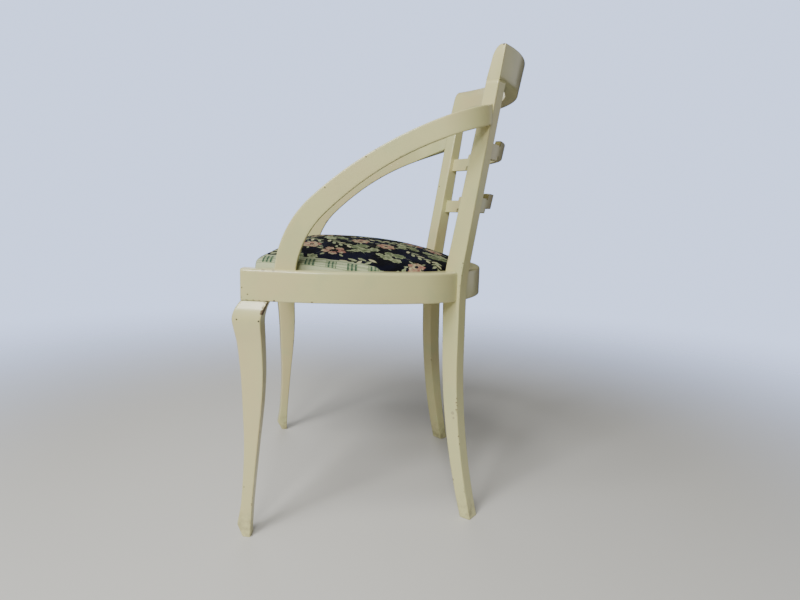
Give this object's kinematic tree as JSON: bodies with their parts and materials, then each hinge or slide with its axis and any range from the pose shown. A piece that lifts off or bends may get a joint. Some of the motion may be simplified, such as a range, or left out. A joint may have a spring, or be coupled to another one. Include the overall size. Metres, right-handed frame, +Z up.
{
  "type": "painted wooden armchair",
  "caption": "Low open armchair with a horseshoe seat frame, sweeping bow arms, curved back slats and a drop-in upholstered seat.",
  "frame": {"origin": "on the floor, at the centre of the bottom of the bounding box", "axes": "+Z up, -Y towards the front of the chair, +X towards the sitter's left"},
  "size_m": [0.5222, 0.499, 0.8012],
  "materials": {
    "paint": "brushed cream enamel paint over hardwood, semi-gloss, chipped and scuffed",
    "bare_wood": "unpainted wood, dusty",
    "steel": "dull zinc-plated steel",
    "fabric": "woven navy floral upholstery cloth with a pale striped border"
  },
  "bodies": {
    "root": {"side_rail_left": "paint", "side_rail_right": "paint", "back_rail": "paint", "front_rail": "paint", "rear_post_left": "paint", "rear_post_right": "paint", "front_leg_left": "paint", "front_leg_right": "paint", "arm_left": "paint", "arm_right": "paint", "crest_rail": "paint", "back_slat_lower": "paint", "back_slat_upper": "paint", "front_block_left": "bare_wood", "front_block_right": "bare_wood", "rear_block_left": "bare_wood", "rear_block_right": "bare_wood", "leg_dowel_left": "bare_wood", "leg_dowel_right": "bare_wood", "arm_base_dowel_left": "bare_wood", "arm_base_dowel_right": "bare_wood", "arm_end_dowel_left": "bare_wood", "arm_end_dowel_right": "bare_wood", "crest_dowel_left": "bare_wood", "crest_dowel_right": "bare_wood", "screw_front_block_front_left": "steel", "screw_front_block_front_right": "steel", "screw_front_block_side_left": "steel", "screw_front_block_side_right": "steel", "screw_rear_block_side_left": "steel", "screw_rear_block_side_right": "steel", "screw_rear_block_back_left": "steel", "screw_rear_block_back_right": "steel", "seat_board": "bare_wood", "seat_pad": "fabric"}
  },
  "joints": []
}
